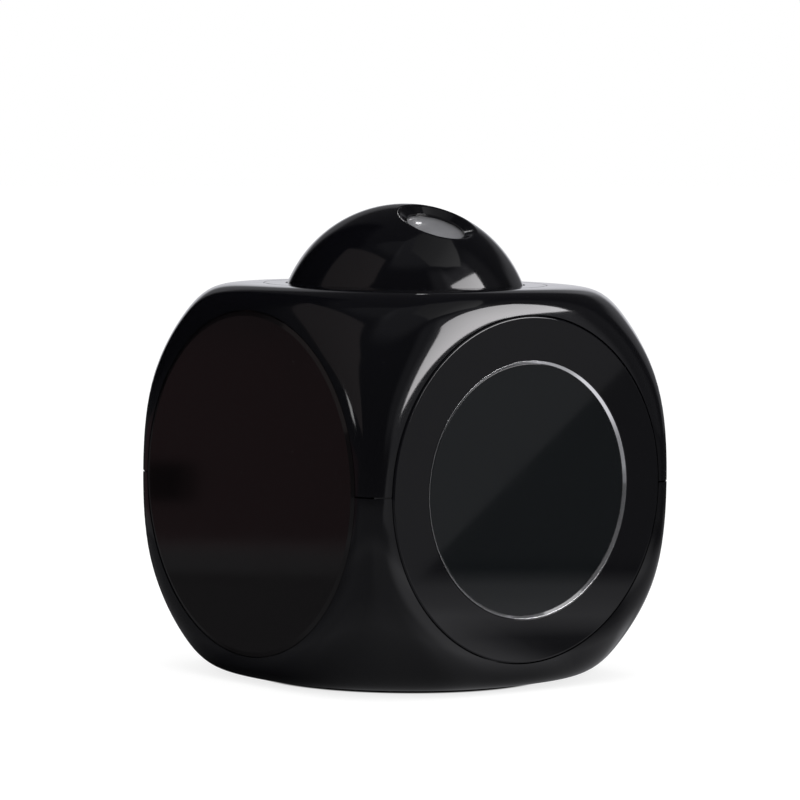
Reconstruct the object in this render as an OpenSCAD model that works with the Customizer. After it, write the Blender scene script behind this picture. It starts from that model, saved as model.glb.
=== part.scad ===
// Projection alarm clock: a rounded cube with round side panels and a tilting
// projector ball in its top. Millimetres, +Z up, front face towards -Y, origin
// on the table under the middle of the body.

/* [Body] */
// Width of the body across opposite faces
body_w = 80; // [72:1:96]
// How much lower the top face is than the sides stand out
top_trim = 0.6; // [0:0.1:1]
// How much higher the bottom face is than the sides stand out
bottom_trim = 0.2; // [0:0.1:1]
// Fillet between a flat face and the round corners
edge_r = 3; // [2:0.25:4]
// Angle at the body's centre from a face's middle to the end of its fillet
cap_angle = 44.2; // [42:0.1:44.4]
// Wall at the round corners
corner_wall = 2.2; // [1.6:0.1:3]
// Wall of a side face, with the recess of its panel
side_wall = 4; // [3.6:0.1:5]
// Wall of the top
top_wall = 3; // [2.6:0.1:4]
// Wall of the bottom
bottom_wall = 3; // [2.6:0.1:4]
// Shadow gap between the upper and the lower housing
seam_gap = 0.25; // [0.1:0.05:0.5]
// Height of the tongue that keys the lower housing into the upper one
tongue_h = 1; // [0.6:0.1:1.5]
// Width of that tongue
tongue_w = 0.7; // [0.5:0.1:0.8]

/* [Round panels] */
// Flat rim between a panel's recess and the fillet
flat_land = 1.3; // [0.8:0.1:2.5]
// Thickness of a panel
panel_t = 2.4; // [2:0.1:2.6]
// Gap round a panel in its recess
panel_gap = 0.2; // [0.1:0.05:0.4]
// Width of the bevel round a side panel
panel_bevel_w = 0.9; // [0.4:0.1:1.5]
// Depth of the bevel round a side panel
panel_bevel_h = 0.3; // [0.1:0.1:0.6]
// Width of the ledge that carries a panel
ledge_w = 4.7; // [3:0.1:6]
// Radius of the pegs on the back of a side panel
peg_r = 1.5; // [1:0.1:2]
// Clearance round a peg, a spigot or another part that drops into a hole
drop_fit = 0.1; // [0.05:0.05:0.2]

/* [Display] */
// Outer diameter of the silver ring
ring_d = 51.2; // [48:0.2:54]
// Width of the ring's sloping face
ring_band = 0.6; // [0.4:0.1:1]
// Depth of the window inside the ring
ring_depth = 0.5; // [0.3:0.1:0.8]
// Width of the display glass
lcd_w = 44; // [38:0.5:45]
// Height of the display glass
lcd_h = 38; // [32:0.5:39]
// Thickness of the display glass
lcd_t = 2.8; // [2:0.1:3]
// Thickness of the display frame
frame_t = 5; // [4:0.5:6]
// Width of the frame's border
frame_border = 5; // [4:0.5:6]
// Thickness of a circuit board
board_t = 1.6; // [1:0.2:2]

/* [Projector ball] */
// Diameter of the ball
ball_d = 52; // [48:0.5:54]
// Height of the ball above the top face
ball_show = 16.4; // [14:0.2:20]
// Wall of the ball
ball_wall = 2; // [1.6:0.1:2.6]
// Tilt of the lens from upright towards the front
lens_tilt = 24; // [0:1:60]
// Distance of the ball's joint below its centre, along the lens axis
ball_split = 6; // [5.5:0.5:8]
// Radius of the pivot pins
pin_r = 2.5; // [2:0.1:3]
// Running clearance round a pivot pin
pin_play = 0.08; // [0.04:0.01:0.1]
// Running gap between the ball and its collar
ball_gap = 0.35; // [0.3:0.05:0.6]
// Radius of the hole that lets the leads into the ball
lead_r = 7; // [5:0.5:7.5]

/* [Lens] */
// Diameter of the funnel in the ball's surface
funnel_d = 16.2; // [14.6:0.2:18]
// Rounding of the funnel's rim
funnel_round = 1.2; // [0.4:0.1:1.4]
// Diameter of the lens that shows
lens_d = 12.2; // [10:0.2:12.6]
// Depth of the funnel under the ball's rim
funnel_h = 1.1; // [0.8:0.1:2]
// Thickness of the ball's lip in front of the lens
lens_lip = 0.5; // [0.4:0.1:1]
// Radius of curvature of the lens
lens_curve = 20; // [14:1:30]
// Outer radius of the lens barrel
barrel_r = 7.9; // [7.6:0.1:8.5]

/* [Collar] */
// Width of the collar's flat ring outside the housing's opening
collar_flange = 1.6; // [1.2:0.1:2]
// Width of the collar between the ball and the housing's opening
collar_w = 3.2; // [2.8:0.1:4]
// Thickness of the collar's flange
flange_t = 1.5; // [1:0.1:2]
// Height of the whole collar
collar_h = 3.4; // [3:0.1:5]

/* [Controls] */
// Radius of a button
button_r = 3.5; // [3:0.1:4]
// Distance between buttons
button_pitch = 10; // [9.6:0.1:10.8]
// Travel of a button
button_travel = 0.6; // [0.3:0.1:0.8]
// Depth of the pocket that the buttons stand in
pocket_h = 1.2; // [0.8:0.1:1.4]
// Height of the buttons above the seam
button_z = 13; // [11:0.5:16]
// Radius of the speaker
speaker_r = 14; // [12:0.5:14.5]
// Depth of the speaker's middle below the seam
speaker_drop = 7; // [6.5:0.5:7.5]
// Depth of the power socket below the seam
socket_drop = 25; // [24.5:0.5:25.5]

/* [Screw posts] */
// Distance of the posts from the middle, front to back
post_y = 16; // [15:0.5:17]
// Radius of a post
post_r = 4; // [3.6:0.1:4.5]
// Wall between a screw's well and the battery bay
post_wall = 0.8; // [0.6:0.1:1.2]
// Height of the upper posts above the seam
post_top = 20; // [14:1:20]
// Radius of the housing screws
screw_r = 1.25; // [1:0.05:1.4]
// Length of the housing screws
screw_l = 18; // [14:0.5:20]

/* [Batteries and base] */
// Diameter of a battery cell
cell_d = 10.5; // [10.1:0.1:10.7]
// Length of a battery cell
cell_l = 44.5; // [43:0.5:45]
// How far the feet stand out of the bottom
foot_proud = 0.6; // [0.4:0.1:1]
// Radius of a foot
foot_r = 3; // [2:0.5:3.5]
// Thickness of the battery door
door_t = 2; // [1.6:0.1:2.2]
// Gap round the battery door
door_gap = 0.3; // [0.2:0.05:0.5]

/* [Hidden] */

$fn = 96;
cut = 0.5;                                   // overshoot of a cutting tool
touch = 0.02;                                // overlap where two shapes of one piece are joined

// Body form
half = body_w / 2;
top_h = half - top_trim;
low_h = half - bottom_trim;
seam_z = foot_proud + low_h;                 // height of the seam above the table
corner_r = edge_r + (half - edge_r) / cos(cap_angle);
blend_step = 0.01;                           // keeps each fillet from only grazing the corner sphere
inner = half - side_wall;                    // half width of the inside
side_flat_r = flat_r(half);
recess_r = side_flat_r - flat_land;
panel_r = recess_r - panel_gap;
window_r = recess_r - ledge_w;
peg_ring = window_r - 4;                     // radius of the circle that the pegs stand on
peg_end = 0.2;                               // room under a peg
peg_h = side_wall - panel_t - peg_end;
edge_cut = 0.3;                              // small chamfer on moulded edges

// Ball, measured from its centre along the lens axis
ball_r = ball_d / 2;
ball_h = top_h + ball_show - ball_r;         // height of the ball's centre above the seam
ball_in = ball_r - ball_wall;
opening_r = sqrt(pow(ball_r, 2) - pow(top_h - ball_h, 2));
collar_r = opening_r + collar_w;             // radius of the housing's opening
flange_r = collar_r + collar_flange;
funnel_top = sqrt(pow(ball_r, 2) - pow(funnel_d / 2, 2));
funnel_low = funnel_top - funnel_h;
funnel_rim = [funnel_d / 2, funnel_top];
funnel_foot = [lens_d / 2, funnel_low];
funnel_run = (funnel_rim - funnel_foot) / norm(funnel_rim - funnel_foot);
funnel_in = [funnel_run[1], -funnel_run[0]]; // from the funnel's surface into the plastic
round_foot = funnel_foot + funnel_round * funnel_in;
round_run = sqrt(pow(round_foot * funnel_run, 2) - round_foot * round_foot + pow(ball_r - funnel_round, 2))
    - round_foot * funnel_run;
round_centre = round_foot + round_run * funnel_run;
barrel_top = funnel_low - lens_lip;
lens_neck_r = lens_d / 2 + 0.2;              // the lens's neck, which shows through the lip
lens_r = lens_d / 2 + 0.8;                   // the lens's flange
lens_flange_t = 1.6;
retainer_h = 1;
lens_back = barrel_top - retainer_h - lens_flange_t;
lens_under = 0.05;                           // how far the dome's foot stays under the lip
lens_front = barrel_top - lens_under + lens_curve - sqrt(pow(lens_curve, 2) - pow(lens_d / 2, 2));
slip = 0.03;                                 // clearance of a part that slides into the barrel
lens_boss_r = barrel_r + 2;
lens_boss_h = 8;
barrel_low = -8;
slide_z = 2;                                 // front face of the image slide
slide_t = 1.1;
slide_r = barrel_r - 1.95;
slide_stop = 1.4;                            // width of the shoulder in front of the slide
spacer_l = 2.9;
spacer_wall = 1.2;
condenser_t = 3;
condenser_curve = slide_r + 1.5;
led_board_r = barrel_r + 1.6;
led_board_t = 1.6;
led_r = 2.2;
led_h = 2.6;
led_flange = 0.4;
column_x = 16;                               // screw columns inside the ball
column_r = 3;
ball_screw_seat = 4;                         // depth of the heads below the ball's joint
ball_screw_l = 11;
ball_lip_t = 1.1;
ball_lip_h = 3.5;                            // height of the lip that centres the two halves
ball_lip_low = 2;                            // how far it starts below the joint

// Pivot
pad_r = 5;
pad_x = ball_r + 0.6;                        // outer face of the flat pad at each pin
pivot_gap = 1;                               // room for a felt washer
pivot_x = pad_x + pivot_gap;
pivot_w = 4;
pivot_y = 7;                                 // half length of a bearing block
cap_h = 6;
cap_screw_y = 5;
cap_screw_r = 1;
cap_screw_l = 9;
washer_t = 0.9;
small_head_r = 1.8;                          // heads of the small screws
small_head_h = 1.2;
board_room = 1;                              // clearance between the ball and the circuit boards

// Display, measured inwards from the front face
glass_y = panel_t + 0.1;
frame_y = side_wall;
board_y = frame_y + frame_t;
frame_w = lcd_w + 2 * frame_border;
frame_h = lcd_h + 2 * frame_border + 2;
ring_foot = 0.3;                             // how far the ring's foot goes into the window's floor
ring_play = 0.05;
guide_h = lcd_h - 7;
guide_w = lcd_w - 1;
strip_h = 2.5;
strip_w = lcd_w - 4;
strip_gap = 0.3;                             // between a contact strip and the light guide
board_screw_r = 0.9;
board_screw_in = 2.5;                        // distance of the screws from a board's edges
board_screw_x = frame_w / 2 - board_screw_in;
board_screw_z = frame_h / 2 - board_screw_in;
chip_r = 6;
chip_h = 1.6;
can_r = 1.1;                                 // the crystal's can
can_l = 6;
capacitor_r = 2.5;
capacitor_h = 7.3;

// Controls, measured inwards from the rear face
button_names = ["mode", "set", "up", "down", "snooze"];
buttons = len(button_names);
flange_h = 0.8;
button_flange = 0.9;                         // how far the flange behind the panel stands out
button_crown = 12;                           // radius of the button's domed top
button_sunk = 0.15;                          // how far the dome stays below the panel's face
stem_r = 1.5;
stem_h = 1.1;
switch_w = 6;
switch_h = 3.5;
plunger_r = 1.7;
plunger_h = 1.5;
stem_end = panel_t + flange_h + stem_h;
key_board_y = stem_end + button_travel + 0.1 + plunger_h + switch_h;
key_board_w = (buttons - 1) * button_pitch + 12;
key_board_h = 19;
key_post_r = 2.4;
key_post_x = 1.5 * button_pitch;
key_post_z = key_board_h / 2 - board_screw_in;
key_screw_l = 5.6;
back_room = 0.4;                             // clearance of what passes through a side's opening
speaker_h = 4.5;
speaker_rim_t = 1;
speaker_rim_w = 2;
speaker_wall = 1;                            // rim on the panel round the speaker
speaker_wall_h = 2;
basket_t = 0.6;
cone_r = speaker_r - speaker_rim_w - 0.05;
cone_h = 2.4;
cone_t = 0.3;
coil_r = 4.8;
cap_rise = 0.8;                              // rise of the dust cap over the coil
magnet_r = 7.5;
magnet_h = 3.5;
magnet_lap = 2;                              // how far the basket's back stands out round the magnet
hole_r = 0.8;
hole_step = 3;                               // distance between rings of speaker holes
hole_rings = 3;
socket_w = 7.6;
socket_h = 2.8;
socket_l = 5.6;
socket_play = 0.3;
socket_board_w = 14;
socket_board_l = 12;
socket_board_t = 1.2;
socket_in = 0.6;                             // how far the socket's mouth lies under the panel's face
socket_shelf_t = 1.2;
socket_wall = 0.35;
socket_tongue_t = 0.7;

// Battery bay, measured from the seam
cells = 3;
cell_gap = 0.3;
cell_pitch = cell_d + cell_gap;
bay_l = cell_l + 7.5;
bay_w = cells * cell_pitch + cell_gap;
bay_low = -low_h + bottom_wall;
bay_h = cell_d + 2 * cell_gap;
bay_wall = 1.5;
cell_z = bay_low + cell_gap + cell_d / 2;
nub_r = 1.9;
nub_h = 1.2;
contact_t = 0.4;
wire_r = 0.35;
coils = 5;
door_step = 1.5;                             // ledge that the door rests on
hole_l = cell_l + 3.5;
hole_w = bay_w - 1;
pocket_l = hole_l + 2 * door_step;
pocket_w = hole_w + 2 * door_step;
hook_w = 6;
hook_x = pocket_l / 2 - 12;
hook_t = 1.2;
hook_lift = 0.4;                             // the least that lets a hook swing over its ledge
nail_r = 6;
grooves = 4;                                 // finger grooves in the door
groove_pitch = 1.6;
groove_r = 0.4;
groove_l = 20;
groove_y = pocket_w / 2 - 6;                 // place of the first groove
foot_x = 18;
foot_y = pocket_w / 2 + foot_r + 0.6;
foot_sink = 0.8;

// Screws that join the housings
head_r = 2.4;
head_h = 1.8;
well_r = head_r + 0.3;
screw_seat = 8;                              // depth of the screw heads below the seam
spigot_r = 2.6;
spigot_h = 1.5;
rib_t = 2;                                   // rib that ties an upper post to the side wall
post_x = bay_l / 2 + post_wall + well_r;

function flat_r(h) = sqrt(pow(corner_r - edge_r, 2) - pow(h - edge_r, 2));

// ---------------------------------------------------------------- places

module at_seam() translate([0, 0, seam_z]) children();

// A side face: local z = 0 is the face and +z points out. 0 is the front, 90 the right side.
module on_side(turn) at_seam() rotate([90, 0, turn]) translate([0, 0, half]) children();

// The ball's own axes: the centre, with +z along the lens axis
module in_ball() translate([0, 0, seam_z + ball_h]) rotate([lens_tilt, 0, 0]) children();

module along_x(x) translate([x, 0, 0]) rotate([0, 90, 0]) children();

module both_x(x) for (side = [-1, 1]) translate([side * x, 0, 0]) children();

module four(x, y) for (sx = [-1, 1], sy = [-1, 1]) translate([sx * x, sy * y, 0]) children();

module button_place(i) on_side(180) translate([(i - (buttons - 1) / 2) * button_pitch, button_z, 0])
    children();

// ---------------------------------------------------------------- body form

// What lies outside a flat face at height h and its rounded edge
module beyond_face(h) {
    r = flat_r(h);
    far = 1.6;
    rotate_extrude() difference() {
        polygon([[0, h], [r, h], [r, h - edge_r], far * [r, h - edge_r], [0, far * (h - edge_r)]]);
        translate([r, h - edge_r]) circle(edge_r);
    }
}

module body_form() difference() {
    sphere(corner_r - blend_step);
    beyond_face(top_h);
    rotate([180, 0, 0]) beyond_face(low_h);
    for (turn = [0:90:270]) rotate([90, 0, turn]) beyond_face(half);
}

// The room inside the housings between two heights, larger by grow to the sides
module inside(low, high, grow = 0) intersection() {
    reach = inner + grow;
    translate([-reach, -reach, low]) cube([2 * reach, 2 * reach, high - low]);
    sphere(corner_r - corner_wall);
}

module side_recesses() for (turn = [0:90:270]) rotate([90, 0, turn]) {
    translate([0, 0, half - panel_t]) cylinder(r = recess_r, h = panel_t + cut);
    if (turn == 0 || turn == 180)
        translate([0, 0, inner - cut]) cylinder(r = window_r, h = side_wall);
    else
        for (a = [45:90:315]) rotate([0, 0, a]) translate([peg_ring, 0, inner - cut])
            cylinder(r = peg_r + drop_fit, h = side_wall);
    if (turn == 0) glass_room();
    if (turn == 180) rear_room();
}

// Room in the front wall for the corners of the display glass
module glass_room() translate([-lcd_w / 2 - back_room, -lcd_h / 2 - back_room, inner - cut])
    cube([lcd_w + 2 * back_room, lcd_h + 2 * back_room, side_wall]);

// Room in the rear wall for what stands on the back of the rear panel
module rear_room() {
    row_r = button_r + button_flange + back_room;
    posts_x = key_post_x + key_post_r + back_room;
    posts_z = key_post_z + key_post_r + back_room;
    shelf_x = socket_board_w / 2 + back_room;
    shelf_low = socket_drop + socket_h / 2 + socket_board_t + socket_shelf_t + back_room;
    translate([0, button_z, inner - cut]) {
        both_x((buttons - 1) * button_pitch / 2) cylinder(r = row_r, h = side_wall);
        translate([-posts_x, -posts_z, 0]) cube([2 * posts_x, 2 * posts_z, side_wall]);
    }
    translate([-shelf_x, -shelf_low, inner - cut]) cube([2 * shelf_x, shelf_low, side_wall]);
}

module screw(r, length, head, height) {
    translate([0, 0, -height]) difference() {
        cylinder(r = head, h = height);
        translate([0, 0, -cut]) cylinder(r = head * 0.45, h = height * 0.5 + cut, $fn = 6);
    }
    translate([0, 0, -touch]) cylinder(r = r, h = length + touch);
}

module upper_housing() color([0.04, 0.04, 0.05]) at_seam() difference() {
    intersection() {
        body_form();
        translate([-corner_r, -corner_r, seam_gap / 2]) cube([2 * corner_r, 2 * corner_r, corner_r]);
    }
    difference() {
        inside(-cut, top_h - top_wall);
        four(post_x, post_y) cylinder(r = post_r, h = post_top);
        for (side = [-1, 1]) translate([0, side * post_y - rib_t / 2, seam_gap / 2]) difference() {
            translate([-inner - cut, 0, 0]) cube([2 * (inner + cut), rib_t, post_top]);
            translate([-post_x, -cut, -cut]) cube([2 * post_x, rib_t + 2 * cut, post_top + 2 * cut]);
        }
        both_x(pivot_x + pivot_w / 2) translate([-pivot_w / 2, -pivot_y, ball_h])
            cube([pivot_w, 2 * pivot_y, top_h]);
    }
    // Groove for the lower housing's tongue
    difference() {
        inside(-cut, tongue_h + drop_fit, tongue_w + drop_fit);
        inside(-2 * cut, tongue_h + 1);
    }
    side_recesses();
    four(post_x, post_y) {
        translate([0, 0, -cut]) cylinder(r = spigot_r + drop_fit, h = spigot_h + drop_fit + cut);
        cylinder(r = screw_r + drop_fit, h = screw_l - screw_seat + 1);
    }
    translate([0, 0, top_h - flange_t]) cylinder(r = flange_r + drop_fit, h = flange_t + cut);
    translate([0, 0, top_h - top_wall - cut]) cylinder(r = collar_r + drop_fit, h = top_wall + cut);
    both_x(pivot_x + pivot_w / 2) translate([0, 0, ball_h]) along_x(-pivot_w / 2 - cut)
        cylinder(r = pin_r + pin_play, h = pivot_w + 2 * cut);
    both_x(pivot_x + pivot_w / 2) for (side = [-1, 1]) translate([0, side * cap_screw_y, ball_h - cut])
        cylinder(r = cap_screw_r + drop_fit, h = cap_screw_l - cap_h + cut + 0.5);
}

// The battery bay's block from the bottom wall up, larger than the bay itself by a wall all round
module bay_block(wall) translate([-bay_l / 2 - wall, -bay_w / 2 - wall, bay_low - touch])
    cube([bay_l + 2 * wall, bay_w + 2 * wall, bay_h + wall + touch]);

module lower_housing() color([0.04, 0.04, 0.05]) at_seam() difference() {
    union() {
        intersection() {
            body_form();
            translate([-corner_r, -corner_r, -seam_gap / 2 - corner_r])
                cube([2 * corner_r, 2 * corner_r, corner_r]);
        }
        inside(-seam_gap / 2 - touch, tongue_h, tongue_w);
        four(post_x, post_y) translate([0, 0, -seam_gap]) cylinder(r = spigot_r, h = spigot_h + seam_gap);
    }
    difference() {
        inside(bay_low, tongue_h + cut);
        four(post_x, post_y) translate([0, 0, -corner_r]) {
            cylinder(r = post_r, h = corner_r - seam_gap / 2);
            cylinder(r = spigot_r, h = 2 * corner_r);
        }
        bay_block(bay_wall);
    }
    bay_block(0);
    side_recesses();
    four(post_x, post_y) {
        translate([0, 0, -corner_r]) cylinder(r = well_r, h = corner_r - screw_seat);
        translate([0, 0, -corner_r]) cylinder(r = screw_r + drop_fit, h = 2 * corner_r);
    }
    translate([-hole_l / 2, -hole_w / 2, -low_h - cut]) cube([hole_l, hole_w, bottom_wall + 2 * cut]);
    translate([-pocket_l / 2, -pocket_w / 2, -low_h - cut]) cube([pocket_l, pocket_w, door_t + cut]);
    translate([0, pocket_w / 2, -low_h - cut]) cylinder(r = nail_r, h = door_t / 2 + cut);
    // Room for the door's hooks in the foot of the bay's front wall
    both_x(hook_x) translate([-hook_w / 2 - door_gap, -pocket_w / 2 - door_gap, bay_low])
        cube([hook_w + 2 * door_gap, pocket_w / 2, hook_lift + hook_t + door_gap]);
    four(foot_x, foot_y) translate([0, 0, -low_h - cut]) cylinder(r = foot_r + drop_fit, h = foot_sink + cut);
}

module top_collar() color([0.05, 0.05, 0.06]) at_seam() rotate_extrude() difference() {
    translate([0, top_h]) polygon([[opening_r - 1, 0], [flange_r - 0.2, 0], [flange_r, -0.2],
        [flange_r, -flange_t], [collar_r, -flange_t], [collar_r, -collar_h], [opening_r - 1, -collar_h]]);
    translate([0, ball_h]) circle(ball_r + ball_gap);
}

// ---------------------------------------------------------------- round panels and display

module side_panel() {
    rotate_extrude() polygon([[0, -panel_t], [panel_r, -panel_t], [panel_r, -panel_bevel_h],
        [panel_r - panel_bevel_w, 0], [0, 0]]);
    for (a = [45:90:315]) rotate([0, 0, a]) translate([peg_ring, 0, -panel_t - peg_h])
        cylinder(r = peg_r, h = peg_h + touch);
}

module left_panel() color([0.09, 0.07, 0.07]) on_side(-90) side_panel();

module right_panel() color([0.09, 0.07, 0.07]) on_side(90) side_panel();

module front_lens() color([0.12, 0.12, 0.13]) on_side(0) rotate_extrude() {
    ring_r = ring_d / 2;
    ring_low = ring_depth + ring_foot;
    polygon([[0, -panel_t], [panel_r, -panel_t], [panel_r, -edge_cut], [panel_r - edge_cut, 0],
        [ring_r + drop_fit, 0], [ring_r + drop_fit, -ring_low], [ring_r - ring_band, -ring_low],
        [ring_r - ring_band, -ring_depth], [0, -ring_depth]]);
}

module display_ring() color([0.62, 0.62, 0.64]) on_side(0) rotate_extrude() {
    ring_r = ring_d / 2;
    ring_low = ring_depth + ring_foot;
    ring_in = ring_r - ring_band + ring_play;
    polygon([[ring_r, 0], [ring_r, -ring_low], [ring_in, -ring_low], [ring_in, -ring_depth],
        [ring_r - ring_play, 0]]);
}

// A block in the display stack, centred on the side's axis, from depth y0 to y1
module stack_block(w, h, y0, y1) on_side(0) translate([-w / 2, -h / 2, -y1]) cube([w, h, y1 - y0]);

module display_glass() color([0.3, 0.33, 0.33]) stack_block(lcd_w, lcd_h, glass_y, glass_y + lcd_t);

module light_guide() color([0.9, 0.92, 0.95]) stack_block(guide_w, guide_h, glass_y + lcd_t, board_y);

module contact_strips() color([0.85, 0.45, 0.55]) on_side(0) for (side = [-1, 1])
    translate([-strip_w / 2, side * (guide_h / 2 + strip_gap + strip_h / 2) - strip_h / 2, -board_y])
        cube([strip_w, strip_h, board_y - glass_y - lcd_t]);

// Frame that holds the glass, with corners that clear the housings' round corners
module display_frame() color([0.85, 0.85, 0.83]) difference() {
    intersection() {
        stack_block(frame_w, frame_h, frame_y, board_y);
        at_seam() sphere(corner_r - corner_wall - drop_fit);
    }
    stack_block(lcd_w + 2 * drop_fit, lcd_h + 2 * drop_fit, frame_y - cut, board_y + cut);
    on_side(0) four(board_screw_x, board_screw_z) translate([0, 0, -board_y - cut])
        cylinder(r = board_screw_r + drop_fit, h = frame_t - 1 + cut);
}

// Clearance that a circuit board near the ball leaves to it
module ball_room() in_ball() sphere(ball_r + board_room);

module main_board() color([0.05, 0.3, 0.14]) difference() {
    stack_block(frame_w, frame_h, board_y, board_y + board_t);
    ball_room();
    on_side(0) four(board_screw_x, board_screw_z) translate([0, 0, -board_y - board_t - cut])
        cylinder(r = board_screw_r + drop_fit, h = board_t + 2 * cut);
}

// The back of the main board: local z = 0 on the board, +z into the body
module on_main_board(x, z) on_side(0) translate([x, z, -board_y - board_t]) rotate([180, 0, 0]) children();

module clock_chip() color([0.03, 0.03, 0.03]) on_main_board(-8, -8) intersection() {
    cylinder(r = chip_r, h = chip_h);
    translate([0, 0, chip_h - 2 * chip_r]) sphere(2 * chip_r);
}

module timing_crystal() color([0.75, 0.75, 0.77]) on_main_board(10, -14) translate([0, 0, can_r])
    rotate([0, 90, 0]) {
        seal_l = 0.5;
        cylinder(r = can_r, h = can_l);
        translate([0, 0, -seal_l]) cylinder(r = can_r - edge_cut, h = seal_l + touch);
    }

module reservoir_capacitor() color([0.1, 0.12, 0.3]) on_main_board(14, 2) rotate_extrude() {
    waist = capacitor_r - edge_cut;
    waist_h = 0.8;                               // where the can is crimped in
    polygon([[0, 0], [capacitor_r, 0], [capacitor_r, waist_h], [waist, waist_h + edge_cut],
        [waist, 2 * waist_h], [capacitor_r, 2 * waist_h + edge_cut], [capacitor_r, capacitor_h - edge_cut],
        [waist, capacitor_h], [0, capacitor_h]]);
}

module main_board_screws() color([0.7, 0.7, 0.7]) on_side(0) four(board_screw_x, board_screw_z)
    translate([0, 0, -board_y - board_t])
        screw(board_screw_r, board_t + frame_t - 2, small_head_r, small_head_h);

// ---------------------------------------------------------------- rear panel and controls

module rear_panel() color([0.05, 0.05, 0.06]) on_side(180) difference() {
    union() {
        rotate_extrude() polygon([[0, -panel_t], [panel_r, -panel_t], [panel_r, -panel_bevel_h],
            [panel_r - panel_bevel_w, 0], [0, 0]]);
        // Posts of the key board
        for (sx = [-1, 1], sz = [-1, 1])
            translate([sx * key_post_x, button_z + sz * key_post_z, -key_board_y])
                cylinder(r = key_post_r, h = key_board_y - panel_t + touch);
        // Rim round the speaker
        translate([0, -speaker_drop, -panel_t - speaker_wall_h]) difference() {
            cylinder(r = speaker_r + drop_fit + speaker_wall, h = speaker_wall_h + touch);
            translate([0, 0, -cut]) cylinder(r = speaker_r + drop_fit, h = speaker_wall_h + cut);
        }
        // Shelf of the socket's board
        translate([-socket_board_w / 2, -socket_drop - socket_h / 2 - socket_board_t - socket_shelf_t,
            -panel_t - socket_board_l])
            cube([socket_board_w, socket_shelf_t, socket_board_l + touch]);
    }
    // Pocket with round ends, and the holes of the buttons in its floor
    pocket_r = button_r + 1.5;
    translate([0, button_z, -pocket_h]) {
        translate([-(buttons - 1) * button_pitch / 2, -pocket_r, 0])
            cube([(buttons - 1) * button_pitch, 2 * pocket_r, pocket_h + cut]);
        both_x((buttons - 1) * button_pitch / 2) cylinder(r = pocket_r, h = pocket_h + cut);
    }
    for (i = [0:buttons - 1]) translate([(i - (buttons - 1) / 2) * button_pitch, button_z, -panel_t - cut])
        cylinder(r = button_r + 2 * drop_fit, h = panel_t + 2 * cut);
    // Speaker holes in rings
    translate([0, -speaker_drop, -panel_t - cut]) {
        cylinder(r = hole_r, h = panel_t + 2 * cut);
        for (ring = [1:hole_rings], i = [0:6 * ring - 1]) rotate([0, 0, i * 60 / ring])
            translate([ring * hole_step, 0, 0]) cylinder(r = hole_r, h = panel_t + 2 * cut);
    }
    translate([-socket_w / 2 - socket_play, -socket_drop - socket_h / 2 - socket_play, -panel_t - cut])
        cube([socket_w + 2 * socket_play, socket_h + 2 * socket_play, panel_t + 2 * cut]);
    for (sx = [-1, 1], sz = [-1, 1])
        translate([sx * key_post_x, button_z + sz * key_post_z, -key_board_y - cut])
            cylinder(r = board_screw_r + drop_fit, h = 5 + cut);
}

module button(i) button_place(i) {
    intersection() {
        translate([0, 0, -panel_t - touch]) cylinder(r = button_r, h = panel_t + touch);
        translate([0, 0, -button_sunk - button_crown]) sphere(button_crown);
    }
    translate([0, 0, -panel_t - flange_h]) cylinder(r = button_r + button_flange, h = flange_h);
    translate([0, 0, -stem_end]) cylinder(r = stem_r, h = stem_h + touch);
}

module button_mode() color([0.16, 0.16, 0.17]) button(0);
module button_set() color([0.16, 0.16, 0.17]) button(1);
module button_up() color([0.16, 0.16, 0.17]) button(2);
module button_down() color([0.16, 0.16, 0.17]) button(3);
module button_snooze() color([0.16, 0.16, 0.17]) button(4);

module key_board() color([0.05, 0.3, 0.14]) difference() {
    on_side(180) translate([-key_board_w / 2, button_z - key_board_h / 2, -key_board_y - board_t])
        cube([key_board_w, key_board_h, board_t]);
    on_side(180) for (sx = [-1, 1], sz = [-1, 1])
        translate([sx * key_post_x, button_z + sz * key_post_z, -key_board_y - board_t - cut])
            cylinder(r = board_screw_r + drop_fit, h = board_t + 2 * cut);
    ball_room();
}

module key_switches() color([0.15, 0.15, 0.16]) for (i = [0:buttons - 1]) button_place(i) {
    translate([-switch_w / 2, -switch_w / 2, -key_board_y]) cube([switch_w, switch_w, switch_h]);
    translate([0, 0, -key_board_y + switch_h - touch]) cylinder(r = plunger_r, h = plunger_h + touch);
}

module key_board_screws() color([0.7, 0.7, 0.7]) on_side(180) for (sx = [-1, 1], sz = [-1, 1])
    translate([sx * key_post_x, button_z + sz * key_post_z, -key_board_y - board_t])
        screw(board_screw_r, key_screw_l, small_head_r, small_head_h);

// The speaker: local z = 0 on its front rim, which lies on the rear panel's back
module in_speaker() on_side(180) translate([0, -speaker_drop, -panel_t]) children();

module speaker_basket() color([0.6, 0.6, 0.6]) in_speaker() rotate_extrude() {
    back_r = magnet_r + magnet_lap;
    rim_in = speaker_r - speaker_rim_w;
    polygon([[speaker_r, 0], [speaker_r, -speaker_rim_t], [rim_in + basket_t, -speaker_rim_t],
        [back_r, -speaker_h], [0, -speaker_h], [0, -speaker_h + basket_t],
        [back_r - basket_t, -speaker_h + basket_t], [rim_in, -speaker_rim_t + edge_cut], [rim_in, 0]]);
}

// Paper cone with a flat surround and a dust cap
module speaker_cone() color([0.12, 0.12, 0.12]) in_speaker() rotate_extrude() {
    surround = 1;
    polygon([[cone_r, -cone_t], [cone_r, -2 * cone_t], [coil_r, -cone_h - cone_t],
        [coil_r - cone_t, -cone_h - cone_t], [0, -cone_h - cone_t + cap_rise], [0, -cone_h + cap_rise],
        [coil_r - cone_t, -cone_h], [coil_r, -cone_h], [cone_r - surround, -cone_t]]);
}

module speaker_magnet() color([0.25, 0.25, 0.27]) in_speaker() translate([0, 0, -speaker_h - magnet_h])
    cylinder(r = magnet_r, h = magnet_h);

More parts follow.
